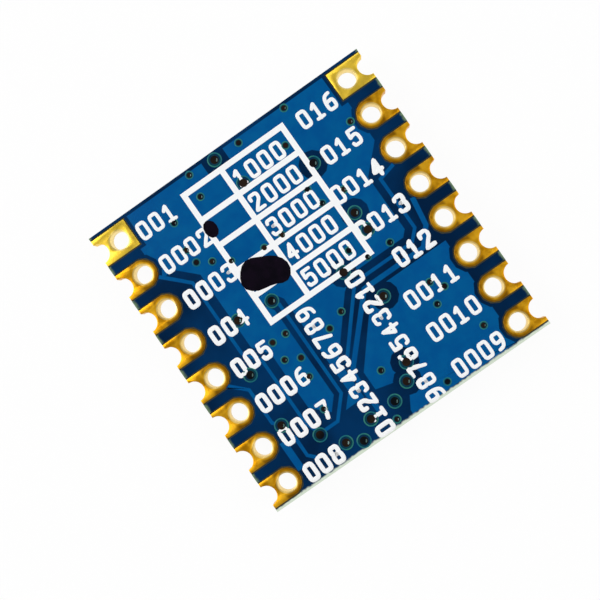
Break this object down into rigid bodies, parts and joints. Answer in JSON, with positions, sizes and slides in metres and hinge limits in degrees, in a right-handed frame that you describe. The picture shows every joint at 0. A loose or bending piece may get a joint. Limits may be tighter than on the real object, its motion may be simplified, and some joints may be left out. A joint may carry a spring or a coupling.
{
  "type": "radio transceiver module",
  "caption": "Small square circuit board with plated half-holes along two edges, a printed selection table on one side and a radio chip with its parts on the other.",
  "frame": {"origin": "under the middle of the board, in the plane of the radio chip's top, which the module lies on with its printed side up", "axes": "+X across the two columns of pads, +Y along them towards pads 1 and 16, +Z out of the printed side"},
  "size_m": [0.0156, 0.0158, 0.0018],
  "materials": {
    "laminate": "satin glass laminate",
    "lacquer": "glossy blue solder lacquer",
    "foil": "etched copper foil",
    "gold": "gold plate over copper",
    "white_ink": "printed white ink",
    "marker": "felt-pen ink",
    "moulding": "moulded epoxy",
    "tin": "tinned metal",
    "lid": "nickel-plated lid",
    "white_ceramic": "fired ceramic",
    "tan_ceramic": "fired ceramic",
    "blue_ceramic": "fired ceramic",
    "resistor_coat": "glazed black film"
  },
  "bodies": {
    "root": {"antenna_switch_body": "moulding", "antenna_switch_leads": "tin", "capacitor_bodies": "tan_ceramic", "capacitor_ends": "tin", "component_lands": "gold", "crystal_base": "white_ceramic", "crystal_lid": "lid", "crystal_terminals": "gold", "inductor_bodies": "blue_ceramic", "inductor_ends": "tin", "label_side_copper": "foil", "label_side_mask": "lacquer", "marker_ink": "marker", "pad_01": "gold", "pad_02": "gold", "pad_03": "gold", "pad_04": "gold", "pad_05": "gold", "pad_06": "gold", "pad_07": "gold", "pad_08": "gold", "pad_09": "gold", "pad_10": "gold", "pad_11": "gold", "pad_12": "gold", "pad_13": "gold", "pad_14": "gold", "pad_15": "gold", "pad_16": "gold", "part_side_copper": "foil", "part_side_mask": "lacquer", "printed_table": "white_ink", "radio_chip_body": "moulding", "radio_chip_pad": "tin", "radio_chip_pins": "tin", "resistor_bodies": "resistor_coat", "resistor_ends": "tin", "solder_joints": "tin", "substrate": "laminate", "via_plating": "gold"}
  },
  "joints": []
}
